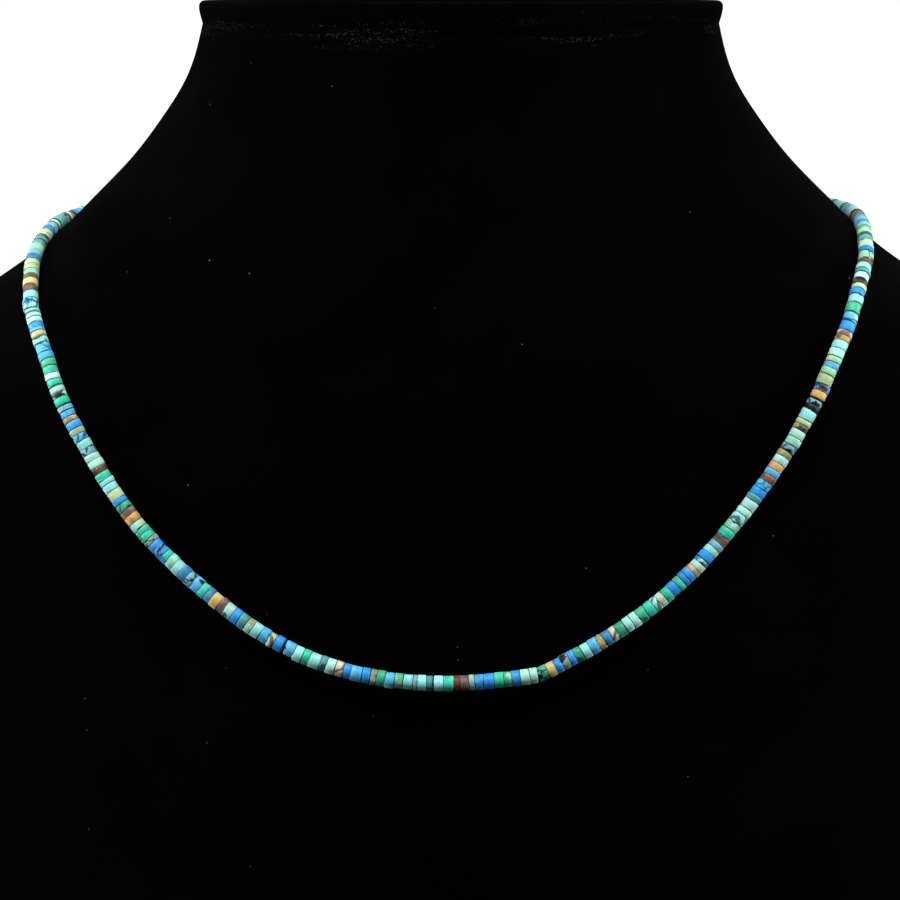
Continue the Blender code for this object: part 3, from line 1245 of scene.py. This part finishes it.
    def rough_places(self, depth: np.ndarray, sideways: np.ndarray, upwards: np.ndarray) -> np.ndarray:
        """Where the discs lay in the rough stone, each in its own spot and turned its own way.

        Args:
            depth: The place of each corner along its disc's axis.
            sideways: Its distance from that axis out of the bust.
            upwards: Its distance from that axis across.

        Returns:
            Millimetres, one row for each corner.
        """
        count = len(depth)
        spin = self.rng.uniform(0, FULL_TURN, count)[:, None, None]
        first = sideways * np.cos(spin) - upwards * np.sin(spin)
        second = sideways * np.sin(spin) + upwards * np.cos(spin)
        starts = self.rng.uniform(-self.rough_size, self.rough_size, (count, 1, 1, 3))
        return (np.stack([depth, first, second], -1) * MILLIMETRES + starts).reshape(-1, 3)

    def nick(
        self,
        radius: np.ndarray,
        depth: np.ndarray,
        ends: np.ndarray,
        nicks: np.ndarray,
        turns: np.ndarray,
        front: float,
        disc: Disc,
    ) -> None:
        """Nicks the rims of one disc.

        Args:
            radius: Radius of each of its corners, changed in place.
            depth: The place of each along its axis, changed in place.
            ends: Which end each corner of the section belongs to.
            nicks: How much each takes of a nick outwards, of a nick along and of a wedge.
            turns: The angle of each corner round the disc.
            front: The angle that faces the front of the bust.
            disc: The disc's entry in the chart.
        """
        for end in (-1, 1):
            picked, middle = self.rng.uniform(), self.rng.uniform(0, FULL_TURN)
            reach, size = self.rng.uniform(*self.nick_reach), self.rng.uniform(*self.nick_size)
            wedge = picked < self.wedge_share
            if disc.nicked and end < 0:
                middle, wedge = front + self.big_nick_turn, True
                reach, size = self.big_nick_reach, self.big_nick
            elif picked > self.nick_share:
                continue
            cut = size * np.exp(-((angle_between(turns, middle) / reach) ** 4))
            row = ends == end
            radius[row] -= nicks[0][row][:, None] * cut * (not wedge)
            depth[row] -= nicks[2 if wedge else 1][row][:, None] * cut * end

    @staticmethod
    def store(piece: bpy.types.Object, name: str, values: np.ndarray) -> None:
        """Keeps a vector or, from four columns, a colour for each corner in the mesh.

        Args:
            piece: The mesh object.
            name: The value's name.
            values: One row for each corner.
        """
        if values.shape[1] == 4:
            made, key = piece.data.attributes.new(name, "FLOAT_COLOR", "POINT"), "color"
        else:
            made, key = piece.data.attributes.new(name, "FLOAT_VECTOR", "POINT"), "vector"
        made.data.foreach_set(key, values.astype(np.float32).ravel())

    def colour(
        self,
        piece: bpy.types.Object,
        discs: list[Disc],
        turns: np.ndarray,
        depth: np.ndarray,
        radius: np.ndarray,
    ) -> None:
        """Gives every disc the colours and marks of its stone, each a little different, and a painted rim
        highlight.

        Args:
            piece: The joined mesh.
            discs: The disc of each group of corners.
            turns: The angle of each corner of a ring from the front of the bust.
            depth: The place of each corner along its disc's axis.
            radius: Its distance from that axis.
        """
        rng = self.rng
        corners = depth[0].size
        bodies, clouds, spots, marks = [], [], [], []
        # Painted highlight along the outer rims of each disc's faces
        inwards = np.abs(depth).max(axis=1, keepdims=True) - np.abs(depth)
        rim = np.exp(-((inwards / self.rim_highlight_width) ** 2)) * (radius > self.diameter * self.rim_highlight_start)
        for number, disc in enumerate(discs):
            look = LOOKS[disc.stone]
            shade = (1 + rng.normal(0, self.shade_spread)) * (1 + rng.normal(0, self.tint_spread, 3))
            clouding, bands, vein = rng.uniform(*self.strengths, 3)
            rim_highlight_share = rim[number].ravel() * rng.uniform(*self.rim_highlight_strengths)
            field = self.spot_field(disc, turns[number], depth[number])
            body = np.clip(np.array(linear(look.body)) * shade, 0, self.brightest)
            cloud = np.clip(np.array(linear(look.cloud)) * shade, 0, self.brightest)
            spot = np.array(linear(LOOKS[disc.spot].body)) if disc.spot else body
            web = min(vein, 1.0) * (disc.vein is Vein.WEB)
            slanting = self.slanting * (disc.vein is Vein.SLANTING)
            bodies.append(np.tile([*body, look.clouding * clouding], (corners, 1)))
            clouds.append(np.tile([*cloud, look.bands * bands], (corners, 1)))
            # The spot attribute's alpha carries the painted rim highlight
            spots.append(np.column_stack([np.tile(spot, (corners, 1)), rim_highlight_share]))
            marks.append(np.column_stack([field.ravel(), np.tile([web, slanting], (corners, 1))]))
        for name, rows in (("body", bodies), ("cloud", clouds), ("spot", spots), ("marks", marks)):
            self.store(piece, name, np.vstack(rows))

    def spot_field(self, disc: Disc, turns: np.ndarray, depth: np.ndarray) -> np.ndarray:
        """How far inside a disc's spot each corner lies.

        Args:
            disc: The disc.
            turns: The angle of each corner of a ring from the front of the bust.
            depth: The place of each corner along the disc's axis.

        Returns:
            Millimetres, below 0 outside the spot.
        """
        size, shift = self.rng.uniform(*self.spot_size), self.rng.uniform(-1, 1)
        turn = self.rng.normal(0, self.spot_turn_spread)
        if not disc.spot:
            return np.full(depth.shape, self.no_spot)
        middle = turn + disc.side.way * self.spot_turn
        away = angle_between(turns, middle) * self.diameter / 2
        return (size - np.hypot(away * self.spot_flatness, depth - shift * self.thickness / 4)) * MILLIMETRES

    def dress(self, piece: bpy.types.Object) -> None:
        """Gives the discs their stone, and their place in the frame.

        Args:
            piece: The mesh from build.
        """
        piece.data.materials.append(self.finish)
        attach(piece, ROOT)
        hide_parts(self.node)


@dataclass(frozen=True)
class ThreadFinish:
    """Dark waxed thread, twisted from two strands."""

    dark: Colour = (0.010, 0.009, 0.008)
    worn: Colour = (0.045, 0.040, 0.035)
    twist: float = 1400.0
    bend: float = 1.5
    fibres: Noise = Noise(5200.0)
    roughness: Span = (0.45, 0.75)
    roughness_span: Span = (0.2, 0.8)
    depth: float = 0.00005

    def make(self) -> bpy.types.Material:
        """Builds the material.

        Returns:
            The material.
        """
        made = NodeMaterial("waxed_thread")
        place = made.object_place()
        ridges = made.stripes(place, self.twist, self.bend)
        fibres = made.noise(place, self.fibres)
        made.shade(
            Base_Color=made.mix(made.math("MULTIPLY", ridges, fibres), (*self.dark, 1), (*self.worn, 1)),
            Roughness=made.ramp(fibres, *self.roughness_span, *self.roughness),
            Normal=made.bump(ridges, self.depth),
        )
        return made.material


@dataclass
class Thread:
    """The thread through all the discs, from one tip of the clasp to the other."""

    left: BeadRoute
    right: BeadRoute
    finish: ThreadFinish
    diameter: float = 0.0005
    sides: int = 8
    spacing: float = 0.0012
    clasp_reach: float = 0.0062

    def build(self) -> bpy.types.Object:
        """Makes a closed tube along both routes.

        Returns:
            The mesh object.
        """
        lines, outs = [], []
        for route, start, end in (
            (self.left, self.clasp_reach, self.left.length),
            (self.right, 0.0, self.right.length - self.clasp_reach),
        ):
            places = np.linspace(start, end, round((end - start) / self.spacing))
            lines.append(route.read(route.line, places))
            outs.append(route.read(route.outs, places))
        line = np.vstack([lines[0], lines[1][1:]])
        _, out, across = square_axes(np.gradient(line, axis=0), np.vstack([outs[0], outs[1][1:]]))
        turns = ring_turns(self.sides)[:, None]
        ring = out[:, None] * np.cos(turns) + across[:, None] * np.sin(turns)
        points = line[:, None] + ring * self.diameter / 2
        return mesh_piece("thread", points.reshape(-1, 3), tube_faces(len(line), self.sides), crease=60)

    def dress(self, piece: bpy.types.Object) -> None:
        """Gives the thread its finish, and its place in the frame.

        Args:
            piece: The mesh from build.
        """
        piece.data.materials.append(self.finish.make())
        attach(piece, ROOT)


@dataclass(frozen=True)
class SilverFinish:
    """Polished silver tone with fine turning lines and a few dull stains."""

    bright: Colour = (0.78, 0.77, 0.74)
    dull: Colour = (0.42, 0.40, 0.36)
    line_stretch: Place = (1.0, 0.06, 0.06)
    lines: Noise = Noise(5200.0, 3.0, 0.7)
    line_depth: float = 0.000006
    stains: Noise = Noise(420.0, 4.0)
    stain_span: Span = (0.52, 0.72)
    roughness: Span = (0.16, 0.34)
    roughness_span: Span = (0.25, 0.75)

    def make(self) -> bpy.types.Material:
        """Builds the material.

        Returns:
            The material.
        """
        made = NodeMaterial("silver_tone")
        place = made.object_place()
        lines = made.noise(made.vector("MULTIPLY", place, self.line_stretch), self.lines)
        stain = made.ramp(made.noise(place, self.stains), *self.stain_span)
        made.shade(
            Base_Color=made.mix(stain, (*self.bright, 1), (*self.dull, 1)),
            Metallic=1.0,
            Roughness=made.ramp(lines, *self.roughness_span, *self.roughness),
            Normal=made.bump(lines, self.line_depth),
        )
        return made.material


@dataclass
class BarrelClasp:
    """The plain barrel that fastens the string at the nape."""

    form: BustForm
    finish: SilverFinish
    nape: float
    clearance: float
    length: float = 0.014
    diameter: float = 0.0036
    tip_diameter: float = 0.0025
    tip_length: float = 0.0022
    tip_edge: float = 0.0003
    tip_flat: float = 0.35
    tip_seam: float = 0.0001
    groove: float = 0.0003
    groove_rows: tuple[Span, ...] = ((1.6, 0.0), (1.0, 0.25), (0.4, 1.0))
    sides: int = 64
    round_steps: int = 6

    def half_profile(self) -> list[tuple[float, float]]:
        """Distance from one end and radius there, up to the groove in the middle.

        Returns:
            One pair for each ring, in metres.
        """
        tip, barrel = self.tip_diameter / 2, self.diameter / 2
        shoulder = barrel - tip
        rows = [(0.0, tip * self.tip_flat)]
        for step in range(self.round_steps + 1):
            turn = math.pi / 2 * step / self.round_steps
            rows.append((self.tip_edge * (1 - math.cos(turn)), tip - self.tip_edge * (1 - math.sin(turn))))
        rows.append((self.tip_length - self.tip_seam, tip))
        for step in range(self.round_steps + 1):
            turn = math.pi / 2 * step / self.round_steps
            rows.append((self.tip_length + shoulder * (1 - math.cos(turn)), tip + shoulder * math.sin(turn)))
        middle = self.length / 2
        for away, deep in self.groove_rows:
            rows.append((middle - self.groove * away, barrel - self.groove * deep))
        return rows

    def build(self) -> bpy.types.Object:
        """Turns the barrel about its axis.

        Returns:
            The mesh object.
        """
        half = self.half_profile()
        rows = half + [(self.length - at, radius) for at, radius in half[::-1]]
        at, radius = (np.array(column) for column in zip(*rows))
        nape, height = np.array([math.pi]), np.array([self.nape])
        out = self.form.normals(nape, height)[0]
        centre = self.form.points(nape, height)[0] + out * (self.diameter / 2 + self.clearance)
        way = np.array((-1.0, 0.0, 0.0))
        across = np.cross(way, out)
        turns = ring_turns(self.sides)[:, None]
        ring = np.cos(turns) * out + np.sin(turns) * across
        points = centre + (at - self.length / 2)[:, None, None] * way + radius[:, None, None] * ring
        faces = tube_faces(len(rows), self.sides)
        return mesh_piece("barrel_clasp", points.reshape(-1, 3), faces, crease=50)

    def dress(self, piece: bpy.types.Object) -> None:
        """Gives the clasp its silver, and its place in the frame.

        Args:
            piece: The mesh from build.
        """
        piece.data.materials.append(self.finish.make())
        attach(piece, ROOT)
        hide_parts("clasp")


@dataclass(frozen=True)
class Necklace:
    """Where the string lies, and the pieces that it is made of."""

    form: BustForm
    nape_drop: float = 0.0365
    drape_drop: float = 0.0928
    disc_diameter: float = 0.0030
    clearance: float = -0.00015
    past_bend: float = 0.0005
    clear_of_clasp: float = 0.0073
    seeds: tuple[int, int] = (11, 23)
    bend: int = 14
    stops: tuple = (
        # Degrees round the bust from its front, and share of the way up from the lowest disc to the nape
        (-180, 1.000),
        (-148, 0.976),
        (-122, 0.944),
        (-104, 0.920),
        (-90, 0.901),
        (-76.6, 0.857),
        (-62.1, 0.790),
        (-52.1, 0.705),
        (-44.7, 0.587),
        (-37.2, 0.403),
        (-31.9, 0.279),
        (-24.3, 0.151),
        (-16.4, 0.056),
        (-4, 0.000),
        (8, 0.016),
        (15.9, 0.105),
        (26.2, 0.285),
        (34.8, 0.499),
        (41.4, 0.644),
        (51.5, 0.770),
        (65, 0.847),
        (77, 0.895),
        (90, 0.923),
        (102.5, 0.938),
        (122, 0.951),
        (148, 0.976),
        (180, 1.000),
    )

    @property
    def nape(self) -> float:
        """How high the string lies at the nape."""
        return self.form.height - self.nape_drop

    def routes(self) -> tuple[BeadRoute, BeadRoute]:
        """The lines from the clasp to the bend and from the bend to the clasp.

        Returns:
            The left route and the right one.
        """
        low = self.nape - self.drape_drop
        lift = self.disc_diameter / 2 + self.clearance
        left, right = self.stops[: self.bend + 1], self.stops[self.bend :]
        return tuple(BeadRoute(self.form, part, low, self.drape_drop, lift) for part in (left, right))

    def parts(self) -> list[DiscString | Thread | BarrelClasp]:
        """The strings, the thread and the clasp, in the order in which they are made.

        Returns:
            One object of its class for each.
        """
        left, right = self.routes()
        left_seed, right_seed = self.seeds
        stone = StoneFinish().make()
        return [
            DiscString(
                "discs_left", "bead_string_left", left, self.clear_of_clasp, LEFT_CHART, stone, left_seed
            ),
            DiscString(
                "discs_right", "bead_string_right", right, -self.past_bend, RIGHT_CHART, stone, right_seed
            ),
            Thread(left, right, ThreadFinish()),
            BarrelClasp(self.form, SilverFinish(), self.nape, self.clearance),
        ]


@dataclass(frozen=True)
class Softbox:
    """A soft light, with a grid in front that narrows its beam where its spread is below 180 degrees."""

    name: str
    place: Place
    width: float
    depth: float
    power: float
    aim: Place = (0.0, -0.045, 0.15)
    spread: float = 180.0


@dataclass(frozen=True)
class Studio:
    """A pale round sweep, soft light from above and from both sides, and the camera in front."""

    floor_middle: float = 0.4
    floor_radius: float = 4.0
    floor_sides: int = 96
    cove: float = 1.6
    cove_steps: int = 12
    wall_height: float = 4.5
    floor_colour: Colour = (0.90, 0.90, 0.90)
    floor_shade: float = 0.97
    floor_roughness: float = 0.9
    floor_glow: float = 0.80
    paper_fibres: Noise = Noise(900.0, 4.0, 0.6)
    horizon: Span = (-0.25, 0.05)
    sky: float = 0.16
    ground: float = 0.08
    target: Place = (-0.002182, -0.048, 0.151)
    distance: float = 0.900
    look_down: float = 6.0
    lens: float = 189.72
    sensor: float = 36.0
    sight: Span = (0.01, 50.0)
    lamps: tuple[Softbox, ...] = (
        Softbox("softbox_above", (0.0, -0.62, 1.36), 1.0, 0.5, 27.0),
        Softbox("softbox_behind", (0.3, 1.3, 1.1), 0.9, 0.6, 3.0),
        Softbox("side_left", (-1.35, 0.10, 0.32), 0.4, 0.9, 24.0),
        Softbox("side_right", (1.35, 0.10, 0.32), 0.4, 0.9, 22.0),
        Softbox("grid_left", (-0.40, -0.26, 0.28), 0.12, 0.20, 0.07, (-0.125, 0.00, 0.17), 22.0),
        Softbox("grid_right", (0.40, -0.26, 0.28), 0.12, 0.20, 0.05, (0.125, 0.00, 0.17), 22.0),
    )

    def add_floor(self) -> None:
        """Makes the floor, which curves up into walls all round and throws no light on the pieces."""
        flat = self.floor_radius - self.cove
        profile = [(self.floor_middle, 0.0), (flat, 0.0)]
        for step in range(1, self.cove_steps + 1):
            turn = math.pi / 2 * step / self.cove_steps
            profile.append((flat + self.cove * math.sin(turn), self.cove * (1 - math.cos(turn))))
        profile.append((self.floor_radius, self.wall_height))
        radius, height = (np.array(column)[:, None] for column in zip(*profile))
        turns = ring_turns(self.floor_sides)
        points = np.stack([radius * np.sin(turns), -radius * np.cos(turns), height + 0 * turns], -1)
        faces = grid_faces(len(profile), self.floor_sides, False)
        faces.append(list(range(self.floor_sides))[::-1])
        floor = mesh_piece("studio_floor", points.reshape(-1, 3), faces, crease=30)
        floor.data.flip_normals()
        floor.data.materials.append(self.paper())
        floor.visible_diffuse = False
        floor.visible_glossy = False

    def paper(self) -> bpy.types.Material:
        """The pale paper of the floor, which glows a little so that it comes out white.

        Returns:
            The material.
        """
        made = NodeMaterial("pale_paper")
        fibres = made.noise(made.object_place(), self.paper_fibres)
        shade = tuple(part * self.floor_shade for part in self.floor_colour)
        made.shade(
            Base_Color=made.mix(fibres, (*shade, 1), (*self.floor_colour, 1)),
            Roughness=self.floor_roughness,
            Emission_Color=(1, 1, 1, 1),
            Emission_Strength=self.floor_glow,
        )
        return made.material

    def add_light(self, lamp: Softbox) -> None:
        """Hangs a soft light.

        Args:
            lamp: Where it hangs, what it shines at and how strong it is.
        """
        data = bpy.data.lights.new(lamp.name, "AREA")
        data.shape = "RECTANGLE"
        data.size, data.size_y, data.energy = lamp.width, lamp.depth, lamp.power
        data.spread = math.radians(lamp.spread)
        light = bpy.data.objects.new(lamp.name, data)
        away = np.array(lamp.place) - np.array(lamp.aim)
        light.location = lamp.place
        tilt = math.acos(away[2] / np.linalg.norm(away))
        light.rotation_euler = (tilt, 0, math.atan2(away[0], -away[1]))
        light.visible_camera = False
        bpy.context.scene.collection.objects.link(light)

    def add_sky(self) -> None:
        """Surrounds the set with white light, dim from below the horizon."""
        world = bpy.data.worlds.new("studio_air")
        bpy.context.scene.world = world
        world.use_nodes = True
        nodes, links = world.node_tree.nodes, world.node_tree.links
        up = nodes.new("ShaderNodeSeparateXYZ")
        links.new(nodes.new("ShaderNodeTexCoord").outputs["Generated"], up.inputs[0])
        fade = nodes.new("ShaderNodeMapRange")
        links.new(up.outputs["Z"], fade.inputs["Value"])
        levels = (*self.horizon, self.ground, self.sky)
        for key, value in zip(("From Min", "From Max", "To Min", "To Max"), levels):
            fade.inputs[key].default_value = value
        links.new(fade.outputs[0], nodes["Background"].inputs["Strength"])
        nodes["Background"].inputs["Color"].default_value = (1, 1, 1, 1)

    def add_camera(self) -> None:
        """Sets the camera where the photograph was taken from."""
        turn = math.radians(self.look_down)
        back = np.array((0.0, -math.cos(turn), math.sin(turn)))
        data = bpy.data.cameras.new("photo_camera")
        data.lens = self.lens
        data.sensor_width = self.sensor
        data.clip_start, data.clip_end = self.sight
        camera = bpy.data.objects.new("photo_camera", data)
        camera.location = np.array(self.target) + self.distance * back
        camera.rotation_euler = (math.pi / 2 - turn, 0.0, 0.0)
        bpy.context.scene.collection.objects.link(camera)
        bpy.context.scene.camera = camera

    def build(self) -> None:
        """Makes the whole set."""
        self.add_camera()
        self.add_floor()
        self.add_sky()
        for lamp in self.lamps:
            self.add_light(lamp)
        bpy.context.scene.view_settings.view_transform = "Standard"


def main() -> None:
    """Builds every piece in order and reports it."""
    logging.basicConfig(level=logging.INFO, format="%(name)s: %(message)s")
    Studio().build()
    form = BustForm()
    for part in [NeckBust(form, VelvetFinish()), *Necklace(form).parts()]:
        piece = part.build()
        part.dress(piece)
        LOG.info("%s: %d faces", piece.name, len(piece.data.polygons))


if __name__ == "__main__":
    main()
